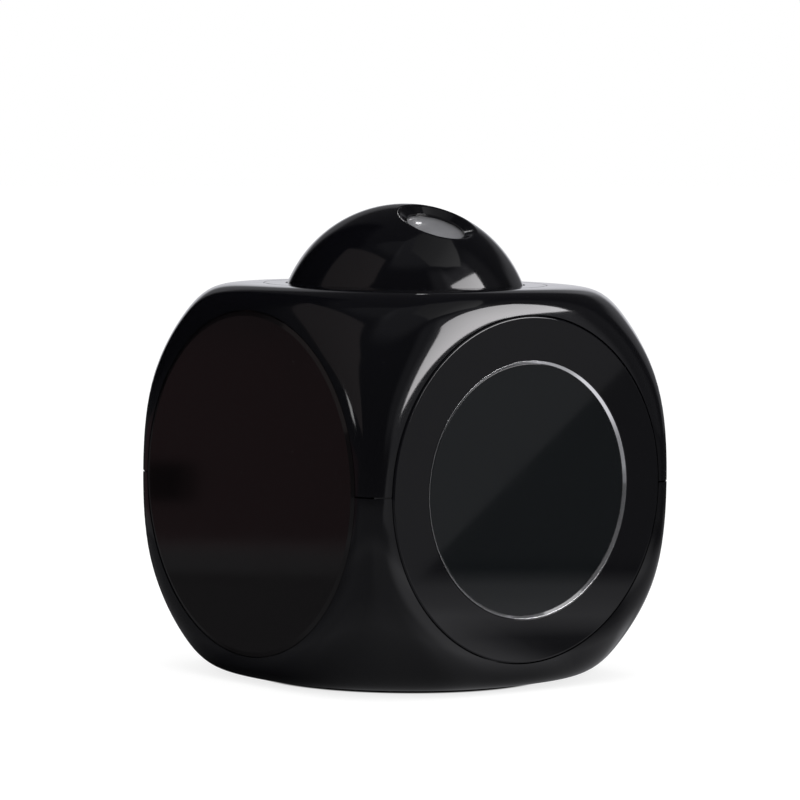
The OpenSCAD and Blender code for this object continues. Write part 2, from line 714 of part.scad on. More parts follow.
module power_socket() color([0.75, 0.75, 0.76]) on_side(180)
    translate([0, -socket_drop, -socket_in - socket_l]) difference() {
        mouth_w = socket_w - 2 * socket_wall;
        tongue = mouth_w - 2.5;
        back_t = 1;
        translate([-socket_w / 2, -socket_h / 2, 0]) cube([socket_w, socket_h, socket_l]);
        difference() {
            translate([-mouth_w / 2, -socket_h / 2 + socket_wall, back_t])
                cube([mouth_w, socket_h - 2 * socket_wall, socket_l]);
            translate([-tongue / 2, 0, back_t / 2]) cube([tongue, socket_tongue_t, socket_l - back_t]);
        }
    }

module socket_board() color([0.05, 0.3, 0.14]) on_side(180)
    translate([-socket_board_w / 2, -socket_drop - socket_h / 2 - socket_board_t, -panel_t])
        translate([0, 0, -socket_board_l]) cube([socket_board_w, socket_board_t, socket_board_l - drop_fit]);

// ---------------------------------------------------------------- projector ball

// What the rounding of the funnel's rim takes away
module funnel_rim_round() difference() {
    polygon([round_centre, round_centre - funnel_round * funnel_in, 2 * funnel_rim - round_centre,
        round_centre * ball_r / norm(round_centre)]);
    translate(round_centre) circle(funnel_round);
}

module ball_shell() color([0.04, 0.04, 0.05]) in_ball() difference() {
    union() {
        rotate_extrude() difference() {
            intersection() {
                circle(ball_r);
                union() {
                    difference() {
                        translate([0, -ball_split]) square([ball_r, ball_r + ball_split]);
                        circle(ball_in);
                    }
                    translate([0, funnel_low - lens_boss_h]) square([lens_boss_r, ball_r]);
                }
            }
            polygon([[0, ball_r + cut], [funnel_d / 2, ball_r + cut], funnel_rim, funnel_foot,
                [lens_d / 2, 0], [0, 0]]);
            funnel_rim_round();
            square([barrel_r + drop_fit, barrel_top]);
        }
        // Pivot pins on flat pads
        for (side = [0, 180]) rotate([0, 0, side]) {
            along_x(ball_in + 0.5) cylinder(r = pad_r, h = pad_x - ball_in - 0.5);
            along_x(pad_x - touch) cylinder(r = pin_r, h = pivot_gap + pivot_w - 0.5 + touch);
        }
        // Screw columns down to the joint
        intersection() {
            both_x(column_x) translate([0, 0, -ball_split]) cylinder(r = column_r, h = ball_r);
            sphere(ball_r - 0.5);
        }
    }
    both_x(column_x) translate([0, 0, -ball_split - cut])
        cylinder(r = screw_r + drop_fit, h = ball_screw_l - ball_screw_seat + 1.5 + cut);
}

module ball_base() color([0.04, 0.04, 0.05]) in_ball() difference() {
    union() {
        rotate_extrude() difference() {
            intersection() {
                circle(ball_r);
                translate([0, -ball_r]) square([ball_r, ball_r - ball_split - 0.05]);
            }
            circle(ball_in);
            translate([0, -ball_r - cut]) square([lead_r, ball_r]);
        }
        // Lip that centres the two halves
        lip_r = sqrt(pow(ball_in, 2) - pow(ball_split, 2)) - drop_fit;
        translate([0, 0, -ball_split - ball_lip_low]) difference() {
            cylinder(r = lip_r, h = ball_lip_h);
            translate([0, 0, -cut]) cylinder(r = lip_r - ball_lip_t, h = ball_lip_h + 2 * cut);
            both_x(column_x) translate([0, 0, ball_lip_low]) cylinder(r = column_r + 0.4, h = ball_lip_h);
        }
        intersection() {
            both_x(column_x) translate([0, 0, -ball_r]) cylinder(r = column_r, h = ball_r - ball_split);
            sphere(ball_r - 0.5);
        }
    }
    both_x(column_x) {
        translate([0, 0, -ball_r]) cylinder(r = well_r - 0.2, h = ball_r - ball_split - ball_screw_seat);
        translate([0, 0, -ball_r]) cylinder(r = screw_r + drop_fit, h = ball_r);
    }
}

module ball_screws() color([0.7, 0.7, 0.7]) in_ball() both_x(column_x)
    translate([0, 0, -ball_split - ball_screw_seat]) screw(screw_r, ball_screw_l, head_r - 0.1, head_h);

module friction_washers() color([0.2, 0.2, 0.2]) in_ball() for (side = [0, 180]) rotate([0, 0, side])
    along_x(pad_x) difference() {
        cylinder(r = pad_r, h = washer_t);
        translate([0, 0, -cut]) cylinder(r = pin_r + 0.05, h = washer_t + 2 * cut);
    }

module pivot_caps() color([0.1, 0.1, 0.11]) at_seam() both_x(pivot_x + pivot_w / 2) difference() {
    translate([-pivot_w / 2, -pivot_y, ball_h - cap_h]) cube([pivot_w, 2 * pivot_y, cap_h - 0.02]);
    translate([0, 0, ball_h]) along_x(-pivot_w / 2 - cut)
        cylinder(r = pin_r + pin_play, h = pivot_w + 2 * cut);
    for (side = [-1, 1]) translate([0, side * cap_screw_y, ball_h - cap_h - cut])
        cylinder(r = cap_screw_r + drop_fit, h = cap_h + 2 * cut);
}

module pivot_cap_screws() color([0.7, 0.7, 0.7]) at_seam() for (side = [-1, 1])
    both_x(pivot_x + pivot_w / 2) translate([0, side * cap_screw_y, ball_h - cap_h])
        screw(cap_screw_r, cap_screw_l, small_head_r, small_head_h);

// ---------------------------------------------------------------- projector inside the ball

module lens_barrel() color([0.1, 0.1, 0.1]) in_ball() rotate_extrude() difference() {
    translate([0, barrel_low]) square([barrel_r, barrel_top - barrel_low]);
    translate([0, lens_back]) square([lens_r + slip, ball_r]);
    translate([0, slide_z + 1]) square([slide_r, lens_back - slide_z - 1 + touch]);
    translate([0, slide_z - cut]) square([slide_r - slide_stop, 2]);
    translate([0, barrel_low - cut]) square([slide_r + slip, slide_z - barrel_low + cut]);
}

// Domed lens on a neck, with a flange that the retainer holds
module projection_lens() color([0.75, 0.78, 0.8, 0.5]) in_ball() rotate_extrude() {
    translate([0, lens_back]) square([lens_r, lens_flange_t]);
    intersection() {
        translate([0, lens_back]) square([lens_neck_r, ball_r]);
        translate([0, lens_front - lens_curve]) circle(lens_curve);
    }
}

module lens_retainer() color([0.15, 0.15, 0.15]) in_ball() rotate_extrude() {
    ring_in = lens_neck_r + slip;
    polygon([[ring_in, lens_back + lens_flange_t], [lens_r, lens_back + lens_flange_t], [lens_r, barrel_top],
        [ring_in + edge_cut, barrel_top], [ring_in, barrel_top - edge_cut]]);
}

module image_slide() color([0.35, 0.38, 0.36]) in_ball() translate([0, 0, slide_z - slide_t])
    cylinder(r = slide_r, h = slide_t);

module slide_spacer() color([0.12, 0.12, 0.12]) in_ball()
    translate([0, 0, slide_z - slide_t - spacer_l]) difference() {
        cylinder(r = slide_r, h = spacer_l);
        translate([0, 0, -cut]) cylinder(r = slide_r - spacer_wall, h = spacer_l + 2 * cut);
    }

module condenser_lens() color([0.8, 0.85, 0.88, 0.5]) in_ball()
    translate([0, 0, slide_z - slide_t - spacer_l - condenser_t]) intersection() {
        cylinder(r = slide_r, h = condenser_t);
        translate([0, 0, condenser_t]) sphere(condenser_curve);
    }

module led_board() color([0.9, 0.9, 0.88]) in_ball() translate([0, 0, barrel_low - led_board_t])
    cylinder(r = led_board_r, h = led_board_t);

module projector_led() color([0.9, 0.3, 0.3]) in_ball() translate([0, 0, barrel_low]) {
    cylinder(r = led_r, h = led_h - led_r);
    translate([0, 0, led_h - led_r]) intersection() {
        sphere(led_r);
        translate([0, 0, led_r / 2 - touch]) cube([3 * led_r, 3 * led_r, led_r], center = true);
    }
    cylinder(r = led_r + led_flange, h = led_flange);
}

// ---------------------------------------------------------------- batteries and base

module cell_place(i) at_seam() translate([0, (i - (cells - 1) / 2) * cell_pitch, cell_z])
    rotate([0, i % 2 == 0 ? 90 : -90, 0]) children();

module battery_cells() color([0.2, 0.35, 0.6]) for (i = [0:cells - 1]) cell_place(i)
    rotate_extrude() polygon([[0, -cell_l / 2], [cell_d / 2 - 0.5, -cell_l / 2],
        [cell_d / 2, -cell_l / 2 + 0.5], [cell_d / 2, cell_l / 2 - nub_h - 0.5],
        [cell_d / 2 - 0.5, cell_l / 2 - nub_h], [nub_r, cell_l / 2 - nub_h], [nub_r, cell_l / 2],
        [0, cell_l / 2]]);

// A coned spring on a plate, pushing on the flat end of a cell
module spring_contacts() color([0.78, 0.78, 0.8]) for (i = [0:cells - 1]) cell_place(i)
    translate([0, 0, -bay_l / 2]) {
        room = (bay_l - cell_l) / 2 - contact_t;
        pitch = (room - 2 * wire_r) / (coils - 1);
        translate([-cell_d / 2 + 1, -cell_d / 2 + 1, 0]) cube([cell_d - 2, cell_d - 2, contact_t + touch]);
        rotate_extrude() for (k = [0:coils - 1])
            translate([3.6 - 0.3 * k, contact_t + wire_r + k * pitch]) circle(wire_r);
        rotate_extrude() polygon([[3.3, contact_t], [3.7, contact_t], [2.5, contact_t + room - wire_r],
            [2.3, contact_t + room - wire_r]]);
    }

module button_contacts() color([0.78, 0.78, 0.8]) for (i = [0:cells - 1]) cell_place(i)
    translate([0, 0, bay_l / 2 - contact_t]) {
        translate([-cell_d / 2 + 1, -cell_d / 2 + 1, 0]) cube([cell_d - 2, cell_d - 2, contact_t]);
        translate([0, 0, -(bay_l - cell_l) / 2 + contact_t])
            cylinder(r1 = nub_r + 0.3, r2 = nub_r + 1.2, h = (bay_l - cell_l) / 2 - contact_t + touch);
    }

module battery_door() color([0.04, 0.04, 0.05]) at_seam() difference() {
    union() {
        translate([-pocket_l / 2 + door_gap, -pocket_w / 2 + door_gap, -low_h])
            cube([pocket_l - 2 * door_gap, pocket_w - 2 * door_gap, door_t]);
        // Hooks that reach over the front ledge
        ledge_top = -low_h + bottom_wall;
        both_x(hook_x) {
            translate([-hook_w / 2, -hole_w / 2 + 0.25, -low_h + door_t - touch])
                cube([hook_w, hook_t, bottom_wall - door_t + hook_lift + hook_t + touch]);
            translate([-hook_w / 2, -hole_w / 2 - door_step, ledge_top + hook_lift])
                cube([hook_w, door_step + 0.25 + hook_t, hook_t]);
        }
        // Snap tongue at the rear edge
        translate([-hook_w, hole_w / 2 - 0.15 - hook_t, -low_h + door_t - touch])
            cube([2 * hook_w, hook_t, bottom_wall - door_t + 0.2 + touch]);
    }
    // Finger grooves
    for (k = [0:grooves - 1]) translate([0, groove_y - groove_pitch * k, -low_h]) along_x(-groove_l / 2)
        cylinder(r = groove_r, h = groove_l);
}

module housing_screws() color([0.7, 0.7, 0.7]) at_seam() four(post_x, post_y)
    translate([0, 0, -screw_seat]) screw(screw_r, screw_l, head_r, head_h);

module rubber_feet() color([0.08, 0.08, 0.08]) at_seam() four(foot_x, foot_y)
    translate([0, 0, -low_h - foot_proud]) {
        cylinder(r1 = foot_r - edge_cut, r2 = foot_r, h = edge_cut + touch);
        translate([0, 0, edge_cut]) cylinder(r = foot_r, h = foot_proud + foot_sink - edge_cut);
    }

upper_housing();
lower_housing();
top_collar();
front_lens();
display_ring();
display_glass();
light_guide();
contact_strips();
display_frame();
left_panel();
right_panel();
rear_panel();
button_mode();
button_set();
button_up();
button_down();
button_snooze();
key_board();
key_switches();
key_board_screws();
main_board();
clock_chip();
timing_crystal();
reservoir_capacitor();
main_board_screws();
speaker_basket();
speaker_cone();
speaker_magnet();
socket_board();
power_socket();
ball_shell();
ball_base();
ball_screws();
friction_washers();
pivot_caps();
pivot_cap_screws();
projection_lens();
lens_retainer();
lens_barrel();
image_slide();
slide_spacer();
condenser_lens();
led_board();
projector_led();
battery_cells();
spring_contacts();
button_contacts();
battery_door();
housing_screws();
rubber_feet();
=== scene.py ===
import math

import bmesh
import bpy
import numpy as np
from mathutils import Matrix, Vector


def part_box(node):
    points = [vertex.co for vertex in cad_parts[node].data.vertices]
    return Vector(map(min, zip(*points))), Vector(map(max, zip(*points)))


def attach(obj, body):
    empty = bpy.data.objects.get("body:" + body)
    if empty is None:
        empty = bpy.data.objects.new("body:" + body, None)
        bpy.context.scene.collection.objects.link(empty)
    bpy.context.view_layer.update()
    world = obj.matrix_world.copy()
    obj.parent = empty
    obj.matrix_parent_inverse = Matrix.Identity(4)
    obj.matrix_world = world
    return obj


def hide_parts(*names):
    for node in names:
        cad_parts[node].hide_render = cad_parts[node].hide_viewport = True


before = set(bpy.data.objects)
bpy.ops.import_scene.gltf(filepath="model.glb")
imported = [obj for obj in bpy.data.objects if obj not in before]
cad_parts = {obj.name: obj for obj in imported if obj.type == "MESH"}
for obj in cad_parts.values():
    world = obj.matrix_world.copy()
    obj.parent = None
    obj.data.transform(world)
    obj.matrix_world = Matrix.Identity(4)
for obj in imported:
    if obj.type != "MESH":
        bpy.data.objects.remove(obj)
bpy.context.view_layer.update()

MM = 0.001

# ---------------------------------------------------------------- sizes from the frame

BODY_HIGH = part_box("upper_housing")[1]
BASE_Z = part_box("lower_housing")[0].z
HALF = BODY_HIGH.x                           # half width of the body
TOP_Z = BODY_HIGH.z
SEAM_Z = sum(corner.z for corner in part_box("front_lens")) / 2
CENTRE = Vector((0, 0, SEAM_Z))              # middle of the round panels, level with the seam
RING_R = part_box("display_ring")[1].x
PANEL_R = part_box("front_lens")[1].x - 0.5 * MM

# The solids' form: a box cut by a ball, and grown by a fillet all round
CAD_FILLET = 3 * MM
CAD_CORNER = CAD_FILLET + (HALF - CAD_FILLET) / math.cos(math.radians(44.2))
HALVINGS = 34                                # steps that find a point's place on that form
# The moulding's form: flat faces that blend softly into a slightly squared ball
SQUARENESS = 2.11                            # 2 is a true ball, and more is nearer to a box
BALL_SIZE = 1.358 * HALF                     # its reach along an axis
BLEND = 0.15 * HALF                          # width of the blend between a face and the ball
FORM_STEPS = 6                               # steps that move a point onto the moulding's form
BASE_FACE_Z = 0.4 * MM                       # height of the underside above the table
SKIN_TOLERANCE = 0.05 * MM                   # how near a face lies to the form when it is skin
SKIN_FACING, NORMAL_FACING = 0.8, 0.9        # how nearly a face, or a normal, has to face outwards
SKIN_EDGE = 1.3 * MM                         # longest edge of the skin
SKIN_ROUNDS = 4                              # how often longer edges are halved
RIM_BEVEL = 0.12 * MM                        # rounding of the skin's rims
RIM_ANGLE = math.radians(40)                 # an edge sharper than this beside the skin is a rim
SHARP_ANGLE = math.radians(32)               # an edge sharper than this stays sharp when shaded
FLAT_ANGLE = math.radians(0.3)               # faces that differ by less than this are one
WELD = 0.002 * MM                            # corners nearer to each other than this are one
# The dark strip that closes the seam: below the skin, half height, inner size and step in degrees
STRIP_INSET, STRIP_HALF, STRIP_INNER, STRIP_STEP = 0.12 * MM, 0.25 * MM, 0.985, 1.5
WINDOW_BEVEL, RING_BEVEL = 0.14 * MM, 0.06 * MM

# ---------------------------------------------------------------- camera

CAMERA_YAW = math.radians(38.773)            # turned from +Y towards +X
CAMERA_PITCH = math.radians(-3.748)
CAMERA_ROLL = math.radians(0.63)
CAMERA_PLACE = CENTRE + HALF * Vector((-13.012, -16.166, 1.747))
CAMERA_LENS = 182.46
CAMERA_CLIP = (0.01, 50)


def linked(name, data):
    """A new object that holds this mesh, lamp or camera."""
    piece = bpy.data.objects.new(name, data)
    bpy.context.scene.collection.objects.link(piece)
    return piece


def make_camera():
    sy, cy = math.sin(CAMERA_YAW), math.cos(CAMERA_YAW)
    sp, cp = math.sin(CAMERA_PITCH), math.cos(CAMERA_PITCH)
    forward = Vector((sy * cp, cy * cp, sp))
    level = Vector((cy, -sy, 0))
    upright = level.cross(forward)
    cr, sr = math.cos(CAMERA_ROLL), math.sin(CAMERA_ROLL)
    right = cr * level + sr * upright
    up = cr * upright - sr * level
    camera = linked("camera", bpy.data.cameras.new("camera"))
    turned = Matrix((right, up, -forward)).transposed().to_4x4()
    camera.matrix_world = Matrix.Translation(CAMERA_PLACE) @ turned
    camera.data.lens = CAMERA_LENS
    camera.data.clip_start, camera.data.clip_end = CAMERA_CLIP
    bpy.context.scene.camera = camera


# ---------------------------------------------------------------- moulded form

def cad_depth(points):
    """How far each point is from the solids' core, and the direction away from it."""
    low = np.array([-HALF, -HALF, BASE_Z - SEAM_Z]) + CAD_FILLET
    high = np.array([HALF, HALF, TOP_Z - SEAM_Z]) - CAD_FILLET
    reach = CAD_CORNER - CAD_FILLET
    small, full = np.zeros(len(points)), np.ones(len(points))
    inside = np.linalg.norm(np.clip(points, low, high), axis=1) <= reach
    for _ in range(HALVINGS):
        middle = (small + full) / 2
        fits = np.linalg.norm(np.clip(points * middle[:, None], low, high), axis=1) <= reach
        small = np.where(fits, middle, small)
        full = np.where(fits, full, middle)
    away = points - np.clip(points * np.where(inside, 1.0, small)[:, None], low, high)
    length = np.maximum(np.linalg.norm(away, axis=1), 1e-9)
    return length, away / length[:, None]


def form_value(points):
    """The moulding's form: about the distance outside its surface, and the gradient of that."""
    size = np.abs(points) + 1e-12
    power = SQUARENESS
    reach = (size ** power).sum(1) ** (1 / power)
    value = reach - BALL_SIZE
    gradient = np.sign(points) * size ** (power - 1) * (reach ** (1 - power))[:, None]
    faces = [(axis, sign, HALF) for axis in (0, 1) for sign in (-1, 1)]
    faces += [(2, 1, TOP_Z - SEAM_Z), (2, -1, SEAM_Z - BASE_FACE_Z)]
    for axis, sign, half in faces:
        plane = sign * points[:, axis] - half
        share = np.maximum(BLEND - np.abs(value - plane), 0) / BLEND
        weight = np.where(plane > value, 1 - share ** 2 / 2, share ** 2 / 2)
        value = np.maximum(value, plane) + share ** 3 * BLEND / 6
        gradient = gradient * (1 - weight)[:, None]
        gradient[:, axis] += sign * weight
    return value, gradient


def on_form(points):
    """The points moved onto the moulding's surface, and the surface's normals there."""
    for _ in range(FORM_STEPS):
        value, gradient = form_value(points)
        points = points - gradient * (value / (gradient ** 2).sum(1))[:, None]
    gradient = form_value(points)[1]
    return points, gradient / np.linalg.norm(gradient, axis=1)[:, None]


def gathered(items, key, width=1, kind=np.float32):
    """One property of all the items of a mesh, as an array with this many columns."""
    flat = np.zeros(len(items) * width, kind)
    items.foreach_get(key, flat)
    return flat.reshape(-1, width) if width > 1 else flat


def skin_faces(bm):
    """The faces of bm that lie on the solids' outer form."""
    bm.verts.ensure_lookup_table()
    places = np.array([v.co - CENTRE for v in bm.verts])
    near = np.abs(cad_depth(places)[0] - CAD_FILLET) < SKIN_TOLERANCE
    found = [f for f in bm.faces if all(near[v.index] for v in f.verts)]
    if not found:
        return []
    middles = np.array([f.calc_center_median() - CENTRE for f in found])
    length, away = cad_depth(middles)
    facing = np.array([f.normal for f in found])
    near = np.abs(length - CAD_FILLET) < SKIN_TOLERANCE
    keep = near & ((facing * away).sum(1) > SKIN_FACING)
    return [f for f, k in zip(found, keep) if k]


def opened(node, name):
    """A copy of a node's mesh, and the same open for changes, with its corners welded."""
    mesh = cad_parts[node].data.copy()
    mesh.name = name
    bm = bmesh.new()
    bm.from_mesh(mesh)
    bmesh.ops.remove_doubles(bm, verts=bm.verts, dist=WELD)
    return mesh, bm


def bevel(bm, edges, offset, segments):
    bmesh.ops.bevel(bm, geom=edges, offset=offset, segments=segments, profile=0.5, affect="EDGES",
                    clamp_overlap=True, material=-1)


def closed(mesh, bm):
    """The changes written back, without the normals that the mesh had before them."""
    bm.to_mesh(mesh)
    bm.free()
    if mesh.attributes.get("custom_normal"):
        mesh.attributes.remove(mesh.attributes["custom_normal"])
    mesh.shade_smooth()


def in_place_of(node, name, mesh, body):
    """The mesh as a new piece that stands for the node and moves with this body."""
    piece = linked(name, mesh)
    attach(piece, body)
    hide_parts(node)
    return piece


def moulded_skin(node, name, body):
    """A copy of a housing whose outer faces are fine and follow the real moulding's form."""
    mesh, bm = opened(node, name)
    bm.normal_update()
    skin_mark = bm.faces.layers.int.new("skin")
    for face in skin_faces(bm):
        face[skin_mark] = 1
    for _ in range(SKIN_ROUNDS):
        skin = [f for f in bm.faces if f[skin_mark]]
        long_edges = {e for f in skin for e in f.edges if e.calc_length() > SKIN_EDGE}
        if not long_edges:
            break
        bmesh.ops.subdivide_edges(bm, edges=list(long_edges), cuts=1)
        bmesh.ops.triangulate(bm, faces=[f for f in bm.faces if f[skin_mark] and len(f.verts) > 3])
    bm.verts.ensure_lookup_table()
    moved = sorted({v.index for f in bm.faces if f[skin_mark] for v in f.verts})
    places = np.array([bm.verts[i].co - CENTRE for i in moved])
    for index, place in zip(moved, on_form(places)[0]):
        bm.verts[index].co = CENTRE + Vector(place)
    bm.normal_update()
    rims = [e for e in bm.edges if len(e.link_faces) == 2
            and e.link_faces[0][skin_mark] != e.link_faces[1][skin_mark]
            and e.calc_face_angle() > RIM_ANGLE]
    bevel(bm, rims, RIM_BEVEL, 2)
    closed(mesh, bm)
    shade_skin(mesh)
    return in_place_of(node, name, mesh, body)


def weighted_normal(face, vert, angle=40):
    """A corner's normal, where large faces count for more, so that flat faces stay flat."""
    total = Vector((0, 0, 0))
    for other in vert.link_faces:
        if other.normal.dot(face.normal) > math.cos(math.radians(angle)):
            total += other.normal * other.calc_area()
    return total.normalized() if total.length > 0 else face.normal.copy()


def eased(node, name, body, offset, angle=30, segments=3):
    """A copy of a node whose sharp edges are rounded."""
    mesh, bm = opened(node, name)
    bmesh.ops.dissolve_limit(bm, angle_limit=FLAT_ANGLE, verts=bm.verts, edges=bm.edges)
    sharp = [e for e in bm.edges
             if len(e.link_faces) == 2 and e.calc_face_angle() > math.radians(angle)]
    bevel(bm, sharp, offset, segments)
    bm.normal_update()
    normals = [weighted_normal(face, vert) for face in bm.faces for vert in face.verts]
    closed(mesh, bm)
    mesh.normals_split_custom_set(normals)
    return in_place_of(node, name, mesh, body)


def shade_skin(mesh):
    """Sharp edges kept, and the form's own normals on the skin."""
    mesh.set_sharp_from_angle(angle=SHARP_ANGLE)
    corners = gathered(mesh.corner_normals, "vector", 3)
    vertex_of = gathered(mesh.loops, "vertex_index", kind=np.int32)
    starts = gathered(mesh.polygons, "loop_start", kind=np.int32)
    counts = gathered(mesh.polygons, "loop_total", kind=np.int32)
    mark = gathered(mesh.attributes["skin"].data, "value", kind=np.int32)
    loop_mark = np.repeat(mark, counts)[np.argsort(np.repeat(starts, counts), kind="stable")]
    places = gathered(mesh.vertices, "co", 3).astype(float)[vertex_of] - np.array(CENTRE)
    value, gradient = form_value(places)
    away = gradient / np.linalg.norm(gradient, axis=1)[:, None]
    exact = (loop_mark == 1) & (np.abs(value) < SKIN_TOLERANCE)
    exact &= (corners * away).sum(1) > NORMAL_FACING
    corners[exact] = away[exact]
    mesh.normals_split_custom_set(corners)


# ---------------------------------------------------------------- material building

class Nodes:
    """A material's node tree, with short calls for the nodes used here."""

    def __init__(self, name):
        self.material = bpy.data.materials.new(name)
        self.material.use_nodes = True
        self.tree = self.material.node_tree
        self.shader = self.tree.nodes["Principled BSDF"]

    def add(self, kind, **settings):
        node = self.tree.nodes.new(kind)
        for key, value in settings.items():
            setattr(node, key, value)
        return node

    def link(self, source, target):
        self.tree.links.new(source, target)

    def place(self):
        """Object coordinates, in metres from the part's origin."""
        return self.add("ShaderNodeTexCoord").outputs["Object"]

    def noise(self, scale, detail=2.0, stretch=(1, 1, 1)):
        mapping = self.add("ShaderNodeMapping")
        mapping.inputs["Scale"].default_value = stretch
        self.link(self.place(), mapping.inputs["Vector"])
        noise = self.add("ShaderNodeTexNoise")
        noise.inputs["Scale"].default_value = scale
        noise.inputs["Detail"].default_value = detail
        self.link(mapping.outputs["Vector"], noise.inputs["Vector"])
        return noise.outputs["Fac"]

    def spread(self, value, low, high, out_low, out_high):
        node = self.add("ShaderNodeMapRange")
        for socket, number in zip(("From Min", "From Max", "To Min", "To Max"),
                                  (low, high, out_low, out_high)):
            node.inputs[socket].default_value = number
        self.link(value, node.inputs["Value"])
        return node.outputs["Result"]

    def mix(self, factor, first, second):
        node = self.add("ShaderNodeMix", data_type="RGBA")
        for socket, colour in (("A", first), ("B", second)):
            target = [s for s in node.inputs if s.name == socket and s.type == "RGBA"][0]
            if isinstance(colour, (tuple, list)):
                target.default_value = (*colour, 1)
            else:
                self.link(colour, target)
        self.link(factor, node.inputs["Factor"])
        return [s for s in node.outputs if s.type == "RGBA"][0]

    def calc(self, operation, first, second):
        node = self.add("ShaderNodeMath", operation=operation)
        for socket, value in zip(node.inputs, (first, second)):
            if isinstance(value, (int, float)):
                socket.default_value = value
            else:
                self.link(value, socket)
        return node.outputs["Value"]

    def bump(self, height, strength, distance):
        node = self.add("ShaderNodeBump")
        node.inputs["Strength"].default_value = strength
        node.inputs["Distance"].default_value = distance
        self.link(height, node.inputs["Height"])
        self.link(node.outputs["Normal"], self.shader.inputs["Normal"])

    def set(self, **values):
        for key, value in values.items():
            socket = self.shader.inputs[key.replace("_", " ")]
            if isinstance(value, (tuple, list)):
                socket.default_value = (*value, 1)
            elif isinstance(value, (int, float)):
                socket.default_value = value
            else:
                self.link(value, socket)
        return self


def linear(red, green, blue):
    """A colour written in 0-255 display values, as linear light."""
    def one(value):
        value /= 255
        return value / 12.92 if value <= 0.04045 else ((value + 0.055) / 1.055) ** 2.4
    return tuple(one(v) for v in (red, green, blue))


def gloss(name, colour, roughness=0.07, haze=0.05, ripple=0.02, dust=0.15):
    """Polished moulded plastic: a slow ripple, hazy handling marks and fine specks of dust."""
    n = Nodes(name)
    specks = n.add("ShaderNodeTexVoronoi", feature="F1")
    specks.inputs["Scale"].default_value = 900
    n.link(n.place(), specks.inputs["Vector"])
    sparse = n.spread(n.noise(300, 3), 0.66, 0.72, 0, 1)
    speck = n.calc("MULTIPLY", n.spread(specks.outputs["Distance"], 0.08, 0.16, 1, 0), sparse)
    marks = n.spread(n.noise(38, 4), 0.5, 0.75, 0, haze)
    rough = n.calc("ADD", n.calc("ADD", marks, roughness), n.calc("MULTIPLY", speck, 0.3))
    n.set(Base_Color=n.mix(n.calc("MULTIPLY", speck, dust), colour, linear(120, 120, 124)),
          Roughness=rough, IOR=1.5)
    n.bump(n.noise(55, 2), ripple, 0.2 * MM)
    return n.material


def satin(name, colour, roughness=0.45, grain=900, strength=0.2, spread=0.25):
    """Moulded or painted surface with a fine grain and slight changes of tone."""
    n = Nodes(name)
    darker = tuple(c * (1 - spread) for c in colour)
    lighter = tuple(min(1, c * (1 + spread)) for c in colour)
    n.set(Base_Color=n.mix(n.noise(90, 4), darker, lighter), IOR=1.5,
          Roughness=n.spread(n.noise(200, 3), 0.3, 0.7, roughness - 0.06, roughness + 0.06))
    n.bump(n.noise(grain * 4, 2), strength, 0.05 * MM)
    return n.material


def metal(name, colour, roughness=0.28, stretch=(1, 1, 12)):
    """Bare or plated metal with fine drawn lines."""
    n = Nodes(name)
    lines = n.noise(1500, 3, stretch)
    darker = tuple(c * 0.8 for c in colour)
    n.set(Base_Color=n.mix(lines, darker, colour), Metallic=1.0,
          Roughness=n.spread(lines, 0.3, 0.7, roughness - 0.08, roughness + 0.08))
    n.bump(lines, 0.15, 0.03 * MM)
    return n.material


def clear(name, colour, roughness=0.03, ior=1.49):
    """Clear moulded lens or light guide."""
    n = Nodes(name)
    n.set(Base_Color=colour, Transmission_Weight=1.0, IOR=ior,
          Roughness=n.spread(n.noise(300, 3), 0.5, 0.8, roughness, roughness + 0.06))
    n.bump(n.noise(200, 2), 0.02, 0.05 * MM)
    return n.material


def frosted(name):
    """A clear lens whose body is slightly milky, under a polished face."""
    n = Nodes(name)
    n.set(Base_Color=n.mix(n.noise(300, 3), linear(150, 150, 154), linear(186, 186, 190)),
          Transmission_Weight=0.55, Roughness=0.32, IOR=1.49, Coat_Weight=1.0, Coat_Roughness=0.03)
    n.bump(n.noise(200, 2), 0.02, 0.05 * MM)
    return n.material


def circuit_board(name):
    """Green solder mask with copper tracks that show through it."""
    n = Nodes(name)
    tracks = n.add("ShaderNodeTexBrick", offset=0.35)
    sizes = {"Scale": 220, "Mortar Size": 0.045, "Brick Width": 0.9, "Row Height": 0.22}
    for socket, value in sizes.items():
        tracks.inputs[socket].default_value = value
    tracks.inputs["Color1"].default_value = tracks.inputs["Color2"].default_value = (0, 0, 0, 1)
    tracks.inputs["Mortar"].default_value = (1, 1, 1, 1)
    n.link(n.place(), tracks.inputs["Vector"])
    n.set(Base_Color=n.mix(tracks.outputs["Color"], linear(18, 84, 44), linear(40, 128, 66)),
          Roughness=n.spread(n.noise(300), 0.3, 0.7, 0.25, 0.4), IOR=1.5)
    n.bump(tracks.outputs["Fac"], 0.3, 0.03 * MM)
    return n.material


# ---------------------------------------------------------------- finishes

def front_window(name):
    """Smoked cover: black print outside the ring, a clearer smoked window inside it."""
    n = Nodes(name)
    split = n.add("ShaderNodeSeparateXYZ")
    n.link(n.place(), split.inputs["Vector"])
    up = n.calc("SUBTRACT", split.outputs["Z"], SEAM_Z)
    square = n.calc("ADD", n.calc("MULTIPLY", split.outputs["X"], split.outputs["X"]),
                    n.calc("MULTIPLY", up, up))
    window = n.calc("LESS_THAN", square, RING_R ** 2)
    haze = n.spread(n.noise(40, 4), 0.5, 0.75, 0.03, 0.07)
    n.set(Base_Color=n.mix(window, linear(12, 12, 15), linear(16, 19, 21)),
          Roughness=haze, IOR=1.5)
    n.bump(n.noise(45, 2), 0.01, 0.1 * MM)
    return n.material


def ring_silver(name):
    """Bright satin silver plating."""
    n = Nodes(name)
    n.set(Base_Color=(0.93, 0.93, 0.95), Metallic=0.92,
          Roughness=n.spread(n.noise(1500, 3), 0.3, 0.7, 0.07, 0.11))
    return n.material


